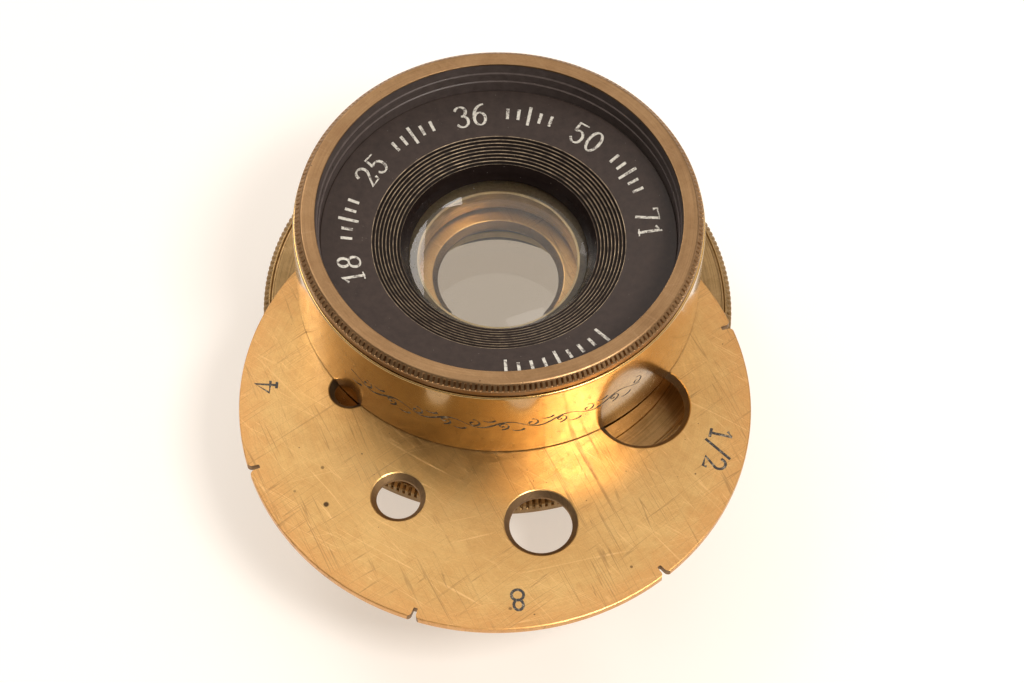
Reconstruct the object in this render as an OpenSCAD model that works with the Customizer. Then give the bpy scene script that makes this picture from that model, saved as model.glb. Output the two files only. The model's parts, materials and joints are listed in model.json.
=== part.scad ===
// Small brass wide-angle lens with a rotating wheel of stops.
// Z runs along the optical axis towards the front of the lens.
// The origin is on that axis, in the plane where the shoulder ring seats on a lens board.
// The stop wheel hangs out of the barrel towards -Y.

/* [Barrel] */
// Outer diameter of the barrel tube in front of the wheel
barrel_d = 30; // [29.9:0.05:30.5]
// Outer diameter of the barrel tube between the wheel and the shoulder ring
neck_d = 29.6; // [29.3:0.05:29.7]
// Outer diameter of the mounting thread
thread_d = 29; // [28.8:0.05:29.1]
// Height of the barrel's front edge above the lens board
barrel_h = 12.25; // [11.8:0.05:12.25]
// Length of the mounting thread behind the lens board
thread_len = 3.6; // [3:0.1:3.6]
// Diameter of the bore that takes the front cell
front_bore_d = 28; // [27.9:0.05:28]
// Diameter of the bore that takes the rear cell
rear_bore_d = 24; // [24:0.05:24.2]

/* [Shoulder ring] */
// Diameter over the knurled edge of the shoulder ring
shoulder_d = 35.34; // [34:0.1:38]
// Thickness of the shoulder ring
shoulder_h = 1.65; // [1.4:0.05:2]

/* [Stop wheel] */
// Diameter of the stop wheel
wheel_d = 37.3; // [37:0.1:37.5]
// Thickness of the stop wheel
wheel_t = 0.6; // [0.5:0.05:0.65]
// Distance from the optical axis to the wheel's pivot, and from the pivot to each hole
pivot_offset = 10.64; // [10.6:0.02:10.7]
// Height of the wheel's front surface above the lens board
wheel_top = 4.8; // [4.75:0.01:4.82]
// Diameter of each stop hole, largest first
hole_d = [8.85, 6.35, 4.5, 3.15, 2.24];
// Angle of each stop hole about the pivot, with the largest hole in use
hole_angle = [90, -1, -71, -129.5, 177];
// Width of the bevel round each stop hole
bevel_w = 0.42; // [0.2:0.02:0.45]
// Angle from a hole to its click notch
notch_lead = 22.5; // [20:0.5:25]
// Depth of a click notch
notch_depth = 0.8; // [0.6:0.05:1]

/* [Glass] */
// Diameter of every glass element
glass_d = 13.9; // [13.8:0.01:13.96]
// Clear diameter in front of each glass pair
clear_d = 13.2; // [13:0.05:13.3]
// Radius of the outer glass surfaces
outer_curve = 28; // [26:0.5:30]
// Radius of the cemented glass surfaces
cement_curve = 26; // [24:0.5:28]
// Radius of the hollow glass surfaces that face the stop
inner_curve = 31; // [29:0.5:34]
// Thickness of each cemented pair at its centre
pair_t = 1.3; // [1.2:0.05:1.4]

/* [Front face] */
// Number of turned grooves round the front glass
groove_count = 8; // [4:1:10]
// Depth of a turned groove
groove_depth = 0.12; // [0.05:0.01:0.16]

/* [Hidden] */
$fn = 120;

// Overshoot of a cutting tool past the surface that it cuts
over = 0.5;
// Radial play of a thread or a running fit
play = 0.05;
// Endways play of each glass pair between its seat and its ring
glass_play = 0.04;
// Gap under each cell's rim
seat_gap = 0.12;

barrel_r = barrel_d / 2;
neck_r = neck_d / 2;
thread_r = thread_d / 2;
front_bore_r = front_bore_d / 2;
rear_bore_r = rear_bore_d / 2;
shoulder_r = shoulder_d / 2;
wheel_r = wheel_d / 2;
wheel_bottom = wheel_top - wheel_t;

// The wheel runs in a saw cut with this much room above, below and beyond its edge.
slot_gap = 0.1;
slot_bottom = wheel_bottom - slot_gap;
slot_top = wheel_top + slot_gap;
slot_reach = wheel_r + 0.35;

// The wheel plate closes the front bore just behind the wheel.
plate_top = slot_bottom;
plate_t = 1.7;
plate_bottom = plate_top - plate_t;
plate_hole_r = 5.6;
plate_screw_pcr = 13;
plate_screw_r = 0.5;
plate_screw_head_r = 0.95;
plate_screw_head_h = 0.55;
plate_screw_len = 2.9;

// Pivot: a shouldered screw with a washer, in a bush pressed into the wheel
pivot_r = 1.5;
pivot_thread_r = 1.1;
pivot_head_r = 2.55;
pivot_head_h = 0.9;
washer_t = 0.15;
washer_gap = 0.05;
washer_r = 2.4;
bush_r = 2.3;
pivot_head_z = wheel_top + washer_gap + washer_t;

// Click spring: a leaf that runs round the hidden edge of the wheel
detent_angle = hole_angle[0] + notch_lead;
notch_mouth = 0.6;
notch_floor = 0.3;
leaf_r = 19.95;
leaf_t = 0.25;
leaf_h = 1.4;
foot_angle = 60;
foot_span = 9;
foot_w = 2.05;
foot_t = 0.3;
foot_screw_r = 0.4;
foot_screw_head_r = 0.7;
foot_screw_head_h = 0.5;
foot_screw_pcr = 21.2;
foot_screw_angles = [62, 67];

// Front cell
rim_top = barrel_h + 1.12;
rim_r = 14.85;
rim_bore_r = 13.36;
rim_flat_r = 14.35;
rim_chamfer_h = 0.48;
rim_mouth_h = 0.1;
recess_r = [13.2, 13.3];
recess_z = [11.5, 12.4];
cell_seat = barrel_h + seat_gap;
cell_bottom = 8.6;
cell_ledge = 9.2;
cell_ledge_r = 11.8;
face_r = 13.1;
face_edge_z = 10.5;

// Front face: a shallow cone, then the grooves, then a smooth lip
groove_outer = [9.34, 9.82];
groove_inner = [7.26, 9.15];
lip = [6.91, 8.6];
face_boss_r = 11.6;
face_boss_z = 8.4;
chamber_r = 7;
chamber_wall = 0.7;
glass_seat = 7.9;
chamber_bottom = 5.1;
ring_bore_r = 5.75;
spanner_slot_w = 0.7;
spanner_slot_depth = 0.25;
flat_edge_r = 5.9;

// Rear cell
rear_rim_z = -5.4;
rear_rim_r = 14.3;
rear_seat = -thread_len - seat_gap;
rear_cell_top = 2;
rear_face_r = 10.9;
rear_face_end = -3.7;
rear_step_count = 7;
rear_glass_seat = 0.31;
rear_chamber_top = 2.1;

// Glass: the height of each pair's outer apex, and the depth from there to its inner flat
crown_share = 0.4;
seat_sag = sag(outer_curve, clear_d / 2);
front_apex = glass_seat + seat_sag - glass_play;
rear_apex = rear_glass_seat - seat_sag + glass_play;
pair_depth = pair_t + sag(inner_curve, flat_edge_r);
front_ring_top = front_apex - pair_depth - glass_play;
rear_ring_bottom = rear_apex + pair_depth + glass_play;

// Depth of a spherical surface of the given radius at a distance from its centre line
function sag(radius, at) = radius - sqrt(radius * radius - at * at);

// Point on the plan at a radius and angle about the pivot
function about_pivot(radius, angle) =
    [radius * cos(angle), -pivot_offset + radius * sin(angle)];

// Point part of the way from one outline point to another
function between(a, b, part) = a + (b - a) * part;

// Outline points of V grooves cut square to a sloping line, all at one pitch
function groove_points(a, b, count, depth) = [
    for (i = [0 : count - 1])
        for (step = [0, 1, 2])
            between(a, b, (i + [0.3, 0.65, 1][step]) / count)
                - [0, step == 1 ? depth : 0]
];

// Outline points of square steps that follow a sloping line
function step_points(a, b, count) = [
    for (i = [0 : count - 1])
        each [
            [between(a, b, i / count)[0], between(a, b, (i + 1) / count)[1]],
            between(a, b, (i + 1) / count)
        ]
];

// A tube with flat ends
module tube(outer_r, inner_r, bottom, top) {
    translate([0, 0, bottom])
        difference() {
            cylinder(r = outer_r, h = top - bottom);
            translate([0, 0, -over])
                cylinder(r = inner_r, h = top - bottom + 2 * over);
        }
}

// A solid turned from an outline of radius and height points
module turned(outline) {
    rotate_extrude()
        polygon(outline);
}

// Places its children on the wheel's pivot
module at_pivot(height = 0) {
    translate([0, -pivot_offset, height])
        children();
}

// A sector of a ring about the pivot
module pivot_sector(inner_r, width, start, span, bottom, height) {
    at_pivot(bottom)
        rotate([0, 0, start])
            rotate_extrude(angle = span)
                translate([inner_r, 0])
                    square([width, height]);
}

// Flat-ended plug with a cone at its top, for countersunk screws and their holes
module countersunk(radius, head_r, head_h, top, length) {
    translate([0, 0, top - length])
        cylinder(r = radius, h = length - head_h / 2);
    translate([0, 0, top - head_h])
        cylinder(r1 = radius, r2 = head_r, h = head_h);
}

// A screwdriver slot across a screw head
module driver_slot(width, length, top, depth) {
    translate([-length / 2, -width / 2, top - depth])
        cube([length, width, depth + over]);
}

// The plate screws' places
module at_plate_screws() {
    for (angle = [0, 120, 240])
        rotate([0, 0, angle])
            translate([plate_screw_pcr, 0, 0])
                children();
}

// The spring screws' places
module at_spring_screws() {
    for (angle = foot_screw_angles)
        translate(about_pivot(foot_screw_pcr, angle))
            children();
}

// Barrel tube with the mounting thread, the ledge for the plate and the saw cut for the wheel
module barrel() {
    edge = 0.1;
    thread_chamfer = 0.3;
    color("goldenrod")
        difference() {
            turned([
                [rear_bore_r, -thread_len],
                [thread_r - thread_chamfer, -thread_len],
                [thread_r, -thread_len + thread_chamfer],
                [thread_r, 0],
                [neck_r, 0],
                [neck_r, slot_top],
                [barrel_r, slot_top],
                [barrel_r, barrel_h - edge],
                [barrel_r - edge, barrel_h],
                [front_bore_r, barrel_h],
                [front_bore_r, plate_bottom],
                [rear_bore_r, plate_bottom]
            ]);
            at_pivot(slot_bottom)
                cylinder(r = slot_reach, h = slot_top - slot_bottom);
            at_plate_screws()
                translate([0, 0, plate_top - plate_screw_len])
                    cylinder(r = plate_screw_r, h = plate_screw_len);
        }
}

// Knurled ring that seats on the lens board
module shoulder_ring() {
    knurl_chamfer = 0.42;
    foot_chamfer = 0.3;
    groove_r = 16.95;
    groove_w = 0.2;
    groove_h = 0.15;
    color("darkgoldenrod")
        turned([
            [neck_r, 0],
            [shoulder_r - foot_chamfer, 0],
            [shoulder_r, foot_chamfer],
            [shoulder_r, shoulder_h - knurl_chamfer],
            [shoulder_r - knurl_chamfer, shoulder_h],
            [groove_r + groove_w, shoulder_h],
            [groove_r + groove_w, shoulder_h - groove_h],
            [groove_r, shoulder_h - groove_h],
            [groove_r, shoulder_h],
            [neck_r, shoulder_h]
        ]);
}

// Plate behind the wheel, with the light hole and the holes for the pivot and the screws
module wheel_plate() {
    color("dimgray")
        difference() {
            tube(front_bore_r, plate_hole_r, plate_bottom, plate_top);
            at_pivot(plate_bottom - over)
                cylinder(r = pivot_thread_r, h = plate_t + 2 * over);
            at_plate_screws()
                countersunk(plate_screw_r, plate_screw_head_r, plate_screw_head_h,
                            plate_top, plate_t + over);
            at_spring_screws()
                translate([0, 0, plate_bottom - over])
                    cylinder(r = foot_screw_r, h = plate_t + 2 * over);
        }
}

// Three countersunk screws that hold the plate on the barrel's ledge
module plate_screws() {
    color("lightsteelblue")
        at_plate_screws()
            difference() {
                countersunk(plate_screw_r, plate_screw_head_r, plate_screw_head_h,
                            plate_top, plate_screw_len);
                driver_slot(width = 0.25, length = 3, top = plate_top, depth = 0.25);
            }
}

// One click notch in the wheel's edge, with worn, flared lips
module click_notch() {
    slope = (notch_mouth - notch_floor) / 2 / notch_depth;
    outer_half = notch_mouth / 2 + over * slope;
    polygon([
        [wheel_r - notch_depth, -notch_floor / 2],
        [wheel_r + over, -outer_half],
        [wheel_r + over, outer_half],
        [wheel_r - notch_depth, notch_floor / 2]
    ]);
}

// Wheel of five stops, each with a bevelled hole and a click notch
module stop_wheel() {
    color("gold")
        difference() {
            at_pivot(wheel_bottom)
                cylinder(r = wheel_r, h = wheel_t);
            at_pivot(wheel_bottom - over)
                cylinder(r = bush_r, h = wheel_t + 2 * over);
            at_pivot(wheel_bottom - over)
                for (i = [0 : len(hole_d) - 1])
                    rotate([0, 0, hole_angle[i]])
                        translate([pivot_offset, 0, 0])
                            cylinder(d = hole_d[i], h = wheel_t + 2 * over);
            at_pivot(wheel_top - bevel_w)
                for (i = [0 : len(hole_d) - 1])
                    rotate([0, 0, hole_angle[i]])
                        translate([pivot_offset, 0, 0])
                            cylinder(d1 = hole_d[i], d2 = hole_d[i] + 4 * bevel_w,
                                     h = 2 * bevel_w);
            at_pivot(wheel_bottom - over)
                linear_extrude(wheel_t + 2 * over)
                    for (angle = hole_angle)
                        rotate(angle + notch_lead)
                            click_notch();
        }
}

// Bush pressed into the middle of the wheel
module wheel_bush() {
    color("khaki")
        at_pivot()
            tube(bush_r, pivot_r + play, wheel_bottom, wheel_top);
}

// Shouldered screw that the wheel turns on
module pivot_screw() {
    color("slategray")
        at_pivot()
            difference() {
                union() {
                    translate([0, 0, plate_bottom])
                        cylinder(r = pivot_thread_r, h = plate_t);
                    translate([0, 0, plate_top])
                        cylinder(r = pivot_r, h = pivot_head_z - plate_top);
                    translate([0, 0, pivot_head_z])
                        cylinder(r = pivot_head_r, h = pivot_head_h);
                }
                driver_slot(width = 0.5, length = 2 * pivot_head_r + over,
                            top = pivot_head_z + pivot_head_h, depth = 0.45);
            }
}

// Washer under the pivot screw's head
module pivot_washer() {
    color("silver")
        at_pivot()
            tube(washer_r, pivot_r, pivot_head_z - washer_t, pivot_head_z);
}

// Leaf spring whose bent tip drops into a click notch
module detent_spring() {
    tip_gap = 0.15;
    tip_r = wheel_r - notch_depth + tip_gap;
    tip_half = 0.08;
    root_half = 0.28;
    leaf_overrun = 1.2;
    color("steelblue")
        difference() {
            union() {
                pivot_sector(leaf_r, leaf_t, foot_angle,
                             detent_angle - foot_angle + leaf_overrun, plate_top, leaf_h);
                pivot_sector(leaf_r, foot_w, foot_angle, foot_span, plate_top, foot_t);
                at_pivot(wheel_bottom)
                    linear_extrude(wheel_t)
                        rotate(detent_angle)
                            polygon([
                                [tip_r, -tip_half],
                                [leaf_r + leaf_t / 2, -root_half],
                                [leaf_r + leaf_t / 2, root_half],
                                [tip_r, tip_half]
                            ]);
            }
            at_spring_screws()
                translate([0, 0, plate_top - over])
                    cylinder(r = foot_screw_r, h = foot_t + 2 * over);
        }
}

// Two cheese-head screws through the spring's foot
module spring_screws() {
    head_z = plate_top + foot_t;
    color("lightsteelblue")
        at_spring_screws()
            difference() {
                union() {
                    translate([0, 0, plate_bottom])
                        cylinder(r = foot_screw_r, h = head_z - plate_bottom);
                    translate([0, 0, head_z])
                        cylinder(r = foot_screw_head_r, h = foot_screw_head_h);
                }
                driver_slot(width = 0.2, length = 2, top = head_z + foot_screw_head_h,
                            depth = 0.2);
            }
}

// Front cell: the knurled rim and the threaded tube that screws into the barrel
module front_cell() {
    color("peru")
        turned([
            [rim_bore_r, rim_top],
            [rim_flat_r, rim_top],
            [rim_r, rim_top - rim_chamfer_h],
            [rim_r, cell_seat],
            [front_bore_r - play, cell_seat],
            [front_bore_r - play, cell_bottom],
            [cell_ledge_r, cell_bottom],
            [cell_ledge_r, cell_ledge],
            [face_r, cell_ledge],
            [face_r, recess_z[0]],
            [recess_r[0], recess_z[0]],
            [recess_r[0], recess_z[1]],
            [recess_r[1], recess_z[1]],
            [recess_r[1], rim_top - rim_mouth_h]
        ]);
}

// Black face ring, with the turned grooves and the chamber that holds the front glass
module front_face() {
    color("black")
        turned(concat(
            [
                [face_r, cell_ledge],
                [face_r, face_edge_z],
                groove_outer
            ],
            groove_points(groove_outer, groove_inner, groove_count, groove_depth),
            [
                lip,
                [clear_d / 2, glass_seat],
                [chamber_r, glass_seat],
                [chamber_r, chamber_bottom],
                [chamber_r + chamber_wall, chamber_bottom],
                [chamber_r + chamber_wall, face_boss_z],
                [face_boss_r, face_boss_z],
                [face_boss_r, cell_ledge]
            ]
        ));
}

// Slotted brass ring that holds a glass pair in its chamber
module glass_ring(bottom, top, spanner_z) {
    color("darkkhaki")
        difference() {
            tube(chamber_r, ring_bore_r, bottom, top);
            translate([-chamber_r - over, -spanner_slot_w / 2, spanner_z])
                cube([2 * (chamber_r + over), spanner_slot_w, spanner_slot_depth]);
        }
}

module front_glass_ring() {
    glass_ring(chamber_bottom, front_ring_top, chamber_bottom);
}

// A ball that shapes one glass surface: its apex is at the given height and it lies below
module dome(radius, apex) {
    translate([0, 0, apex - radius])
        sphere(r = radius);
}

// A cemented pair stands with its outer surface up. Its crown is the outer element.
module crown_shape() {
    intersection() {
        cylinder(d = glass_d, h = 2 * pair_t, center = true);
        difference() {
            dome(outer_curve, 0);
            dome(cement_curve, -crown_share * pair_t);
        }
    }
}

// Its flint is the inner element, hollow towards the stop with a flat edge.
module flint_shape() {
    intersection() {
        translate([0, 0, -pair_depth])
            cylinder(d = glass_d, h = 2 * pair_t);
        difference() {
            dome(cement_curve, -crown_share * pair_t);
            dome(inner_curve, -pair_t);
        }
    }
}

module front_crown_lens() {
    color([0.8, 0.85, 0.85, 0.4])
        translate([0, 0, front_apex])
            crown_shape();
}

module front_flint_lens() {
    color([0.75, 0.8, 0.75, 0.4])
        translate([0, 0, front_apex])
            flint_shape();
}

// Rear cell: the knurled rim that the lens stands on and the tube that screws into the barrel
module rear_cell() {
    edge = 0.4;
    rim_opening_r = 13.2;
    ledge_r = 9.6;
    ledge_z = -0.6;
    ledge_top = 0.2;
    color("peru")
        turned([
            [rear_bore_r - play, rear_cell_top],
            [rear_bore_r - play, rear_seat],
            [rear_rim_r - edge, rear_seat],
            [rear_rim_r, rear_seat - edge],
            [rear_rim_r, rear_rim_z + edge],
            [rear_rim_r - edge, rear_rim_z],
            [rim_opening_r, rear_rim_z],
            [rear_face_r, rear_face_end],
            [rear_face_r, ledge_z],
            [ledge_r, ledge_z],
            [ledge_r, ledge_top],
            [rear_face_r, ledge_top],
            [rear_face_r, rear_cell_top]
        ]);
}

// Black stepped cone behind the rear glass, with the chamber that holds that glass
module rear_face() {
    lip_point = [6.75, -0.2];
    cone_end = [rear_face_r, rear_face_end];
    boss_r = 9.4;
    boss_z = 0.6;
    ledge_z = -0.6;
    color("black")
        turned(concat(
            [
                [chamber_r + chamber_wall, rear_chamber_top],
                [chamber_r, rear_chamber_top],
                [chamber_r, rear_glass_seat],
                [clear_d / 2, rear_glass_seat],
                lip_point
            ],
            step_points(lip_point, cone_end, rear_step_count),
            [
                [rear_face_r, ledge_z],
                [boss_r, ledge_z],
                [boss_r, boss_z],
                [chamber_r + chamber_wall, boss_z]
            ]
        ));
}

module rear_glass_ring() {
    glass_ring(rear_ring_bottom, rear_chamber_top, rear_chamber_top - spanner_slot_depth);
}

// The rear pair is the front pair turned to face the other way.
module rear_crown_lens() {
    color([0.8, 0.85, 0.85, 0.4])
        translate([0, 0, rear_apex])
            mirror([0, 0, 1])
                crown_shape();
}

module rear_flint_lens() {
    color([0.75, 0.8, 0.75, 0.4])
        translate([0, 0, rear_apex])
            mirror([0, 0, 1])
                flint_shape();
}

barrel();
shoulder_ring();
wheel_plate();
plate_screws();
stop_wheel();
wheel_bush();
pivot_screw();
pivot_washer();
detent_spring();
spring_screws();
front_cell();
front_face();
front_glass_ring();
front_crown_lens();
front_flint_lens();
rear_cell();
rear_face();
rear_glass_ring();
rear_crown_lens();
rear_flint_lens();
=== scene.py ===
"""Looks of a small brass wide-angle lens with a rotating wheel of stops.

Shapes are worked out in millimetres in the CAD frame and stored in metres. Brass parts are
turned from outlines of radius and height, with real knurls, threads and grooves.
"""

import json
import math

import bmesh
import bpy
import numpy as np
from mathutils import Matrix, Vector


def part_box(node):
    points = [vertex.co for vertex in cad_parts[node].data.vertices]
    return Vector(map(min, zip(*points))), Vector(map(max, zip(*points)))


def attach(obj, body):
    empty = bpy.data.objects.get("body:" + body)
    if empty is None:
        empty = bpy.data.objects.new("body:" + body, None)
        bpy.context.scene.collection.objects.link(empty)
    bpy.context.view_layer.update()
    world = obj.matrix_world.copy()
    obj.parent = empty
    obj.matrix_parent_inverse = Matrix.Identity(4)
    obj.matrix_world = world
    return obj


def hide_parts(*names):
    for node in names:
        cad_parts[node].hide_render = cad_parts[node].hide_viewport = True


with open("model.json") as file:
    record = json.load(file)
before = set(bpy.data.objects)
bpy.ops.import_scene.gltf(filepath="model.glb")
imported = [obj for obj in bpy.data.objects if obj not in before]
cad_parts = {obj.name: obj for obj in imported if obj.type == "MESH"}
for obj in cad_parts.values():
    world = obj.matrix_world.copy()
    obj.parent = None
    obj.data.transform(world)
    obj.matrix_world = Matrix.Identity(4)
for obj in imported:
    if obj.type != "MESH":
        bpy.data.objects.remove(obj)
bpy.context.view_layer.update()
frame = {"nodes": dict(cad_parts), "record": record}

MM = 0.001
TURN = 2 * math.pi
rng = np.random.default_rng(7)


# ---------- sizes from the frame


def box_mm(node):
    """Lowest and highest corner of a CAD node, in millimetres."""
    low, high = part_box(node)
    return low / MM, high / MM


RIM_TOP = box_mm("front_cell")[1].z
RIM_R = box_mm("front_cell")[1].x
CELL_BOTTOM = box_mm("front_cell")[0].z
BARREL_R = box_mm("barrel")[1].x
BARREL_TOP = box_mm("barrel")[1].z
BARREL_END = box_mm("barrel")[0].z
THREAD_R = 14.5
NECK_R = 14.8
SHOULDER_R = box_mm("shoulder_ring")[1].x
SHOULDER_H = box_mm("shoulder_ring")[1].z
WHEEL_LOW, WHEEL_HIGH = box_mm("stop_wheel")
WHEEL_R = (WHEEL_HIGH.x - WHEEL_LOW.x) / 2
WHEEL_TOP = WHEEL_HIGH.z
WHEEL_BOTTOM = WHEEL_LOW.z
PIVOT_Y = (box_mm("pivot_washer")[0].y + box_mm("pivot_washer")[1].y) / 2
PLATE_BOTTOM = box_mm("wheel_plate")[0].z
FRONT_BORE_R = box_mm("wheel_plate")[1].x
BUSH_R = (box_mm("wheel_bush")[1].x - box_mm("wheel_bush")[0].x) / 2
REAR_RIM_Z = box_mm("rear_cell")[0].z
REAR_RIM_R = box_mm("rear_cell")[1].x
REAR_CELL_TOP = box_mm("rear_cell")[1].z
GLASS_R = box_mm("front_crown_lens")[1].x
FRONT_APEX = box_mm("front_crown_lens")[1].z
REAR_APEX = box_mm("rear_crown_lens")[0].z

THREAD_PITCH = 0.5
THREAD_DEPTH = 0.14
KNURL_COUNT = 240
# Stop holes: angle round the pivot in degrees, and diameter.
HOLES = [(90, 8.85), (-1, 6.35), (-71, 4.5), (-129.5, 3.15), (177, 2.24)]
BEVEL = 0.42
NOTCH_LEAD = 22.5  # degrees from a hole to its click notch
NOTCH_DEPTH = 0.8
SLOT_GAP = 0.1
SLOT_REACH = WHEEL_R + 0.35
GLASS_FLAT_R = 5.9  # inside of the flat ground on the pair's inner side
# The face's turned grooves, from the outer edge to the inner: radius and height.
GROOVES_OUTER = (9.34, 9.82)
GROOVES_INNER = (7.26, 9.15)
GROOVE_COUNT = 8
FACE_EDGE = (13.02, 10.5)
REAR_CONE_END = (10.9, -3.7)
SCROLL_Z = 8.6


# ---------- turning


def soften(outline, radius=0.05, steps=3):
    """Rounds the corners of a closed outline. A point may carry its own radius as a third value."""
    points = [np.array(p[:2], float) for p in outline]
    radii = [p[2] if len(p) > 2 else radius for p in outline]
    soft = []
    for i, corner in enumerate(points):
        to_last = points[i - 1] - corner
        to_next = points[(i + 1) % len(points)] - corner
        len_last = np.linalg.norm(to_last)
        len_next = np.linalg.norm(to_next)
        to_last = to_last / len_last
        to_next = to_next / len_next
        straight = to_last @ to_next < -0.998
        reach = min(radii[i], 0.4 * len_last, 0.4 * len_next)
        if straight or reach < 1e-4:
            soft.append(corner)
            continue
        guard = 2.2 * reach
        if guard < 0.45 * len_last:
            soft.append(corner + to_last * guard)
        for u in np.linspace(0, 1, steps + 1):
            soft.append(corner + to_last * reach * (1 - u) ** 2 + to_next * reach * u ** 2)
        if guard < 0.45 * len_next:
            soft.append(corner + to_next * guard)
    return soft


def densify(points, zone, step):
    """Splits the outline's edges to the given step where zone(radius, height) is true."""
    dense = []
    for i, a in enumerate(points):
        b = points[(i + 1) % len(points)]
        middle = (a + b) / 2
        parts = 1
        if zone(middle[0], middle[1]):
            parts = max(1, math.ceil(np.linalg.norm(b - a) / step))
        dense.extend(a + (b - a) * k / parts for k in range(parts))
    return dense


def signed_area(points):
    p = np.array(points)
    q = np.roll(p, -1, axis=0)
    return 0.5 * float(np.sum(p[:, 0] * q[:, 1] - q[:, 0] * p[:, 1]))


def add_object(name, data):
    """A new object in the scene, for a mesh, a light or a camera."""
    obj = bpy.data.objects.new(name, data)
    bpy.context.scene.collection.objects.link(obj)
    return obj


def smooth(mesh, angle):
    """Smooth shading, apart from edges sharper than the angle in degrees."""
    mesh.shade_smooth()
    mesh.set_sharp_from_angle(angle=math.radians(angle))


def new_object(name, vertices_mm, faces, smooth_angle=45):
    """A smooth mesh object from points in millimetres."""
    mesh = bpy.data.meshes.new(name)
    mesh.from_pydata((np.asarray(vertices_mm) * MM).tolist(), [], faces)
    mesh.validate()
    smooth(mesh, smooth_angle)
    return add_object(name, mesh)


def edit_mesh(obj, change):
    """Runs a change on the object's mesh as a bmesh."""
    bm = bmesh.new()
    bm.from_mesh(obj.data)
    change(bm)
    bm.to_mesh(obj.data)
    bm.free()


def fix_normals(obj):
    edit_mesh(obj, lambda bm: bmesh.ops.recalc_face_normals(bm, faces=bm.faces))


def revolve(name, points, segments=360, relief=None, paint=None, smooth_angle=45):
    """Turns a closed outline about the optical axis.

    relief(angle, r, z) moves the surface along its outward normal. paint(r, z) picks the
    material slot of each row of faces.
    """
    if signed_area(points) < 0:
        points = points[::-1]
    p = np.array(points)
    rows = len(p)
    tangent = np.roll(p, -1, axis=0) - np.roll(p, 1, axis=0)
    normal = np.stack([tangent[:, 1], -tangent[:, 0]], axis=1)
    normal /= np.linalg.norm(normal, axis=1, keepdims=True) + 1e-12
    angle = np.linspace(0, TURN, segments, endpoint=False)[None, :]
    r = np.repeat(p[:, 0:1], segments, axis=1)
    z = np.repeat(p[:, 1:2], segments, axis=1)
    if relief is not None:
        shift = relief(angle, r, z)
        r = r + shift * normal[:, 0:1]
        z = z + shift * normal[:, 1:2]
    vertices = np.stack([r * np.cos(angle), r * np.sin(angle), z], axis=2).reshape(-1, 3)
    index = np.arange(rows * segments).reshape(rows, segments)
    right = np.roll(index, -1, axis=1)
    above = np.roll(index, -1, axis=0)
    above_right = np.roll(above, -1, axis=1)
    faces = np.stack([index, right, above_right, above], axis=2)
    on_axis = (p[:, 0] < 1e-6) & (np.roll(p[:, 0], -1) < 1e-6)
    faces = faces[~on_axis].reshape(-1, 4)
    obj = new_object(name, vertices, faces.tolist(), smooth_angle)
    if (p[:, 0] < 1e-6).any():
        close_poles(obj, smooth_angle)
    elif paint is not None:
        middle = (p + np.roll(p, -1, axis=0)) / 2
        slots = np.repeat(paint(middle[:, 0], middle[:, 1]).astype(np.int32), segments)
        obj.data.polygons.foreach_set("material_index", slots)
    return obj


def close_poles(obj, smooth_angle):
    """Joins the ring of equal points that a turned surface leaves on its axis."""
    edit_mesh(obj, lambda bm: bmesh.ops.remove_doubles(bm, verts=bm.verts, dist=1e-8))
    smooth(obj.data, smooth_angle)


def cut(obj, cutter, smooth_angle):
    """Subtracts the cutter from the object and deletes the cutter."""
    modifier = obj.modifiers.new("cut", "BOOLEAN")
    modifier.operation = "DIFFERENCE"
    modifier.solver = "EXACT"
    modifier.object = cutter
    graph = bpy.context.evaluated_depsgraph_get()
    result = bpy.data.meshes.new_from_object(obj.evaluated_get(graph))
    obj.modifiers.clear()
    obj.data = result
    bpy.data.objects.remove(cutter)
    smooth(result, smooth_angle)
    return obj


def join(objects, name):
    """Joins several objects into the first one."""
    first = objects[0]
    with bpy.context.temp_override(
        active_object=first, selected_editable_objects=objects, object=first
    ):
        bpy.ops.object.join()
    first.name = name
    return first


# ---------- surface relief


def fade(value, low, high, edge):
    """1 between low and high, falling to 0 over the edge width outside them."""
    rise = np.clip((value - low) / edge + 1, 0, 1)
    fall = np.clip((high - value) / edge + 1, 0, 1)
    return rise * fall


def notches(angle, count, depth, width, uneven):
    """Straight knurling: narrow notches round the part, a little uneven in depth."""
    place = angle / TURN * count
    number = np.floor(place).astype(int) % count
    off_centre = np.abs(place - np.floor(place) - 0.5)
    return -depth * uneven[number] * np.clip(1.6 - 1.6 * off_centre / width, 0, 1)


def uneven_notches(count, spread):
    return 1 + spread * np.clip(rng.normal(size=count), -2, 2)


def screw_thread(angle, z, low, high, hand=1):
    """A V thread between two heights."""
    place = z / THREAD_PITCH - hand * angle / TURN
    groove = 2 * np.abs(place - np.floor(place) - 0.5)
    groove = np.clip((1 - groove) * 1.25 - 0.12, 0, 1)
    return -THREAD_DEPTH * groove * fade(z, low, high, 0.15)


# ---------- brass and black parts


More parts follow.
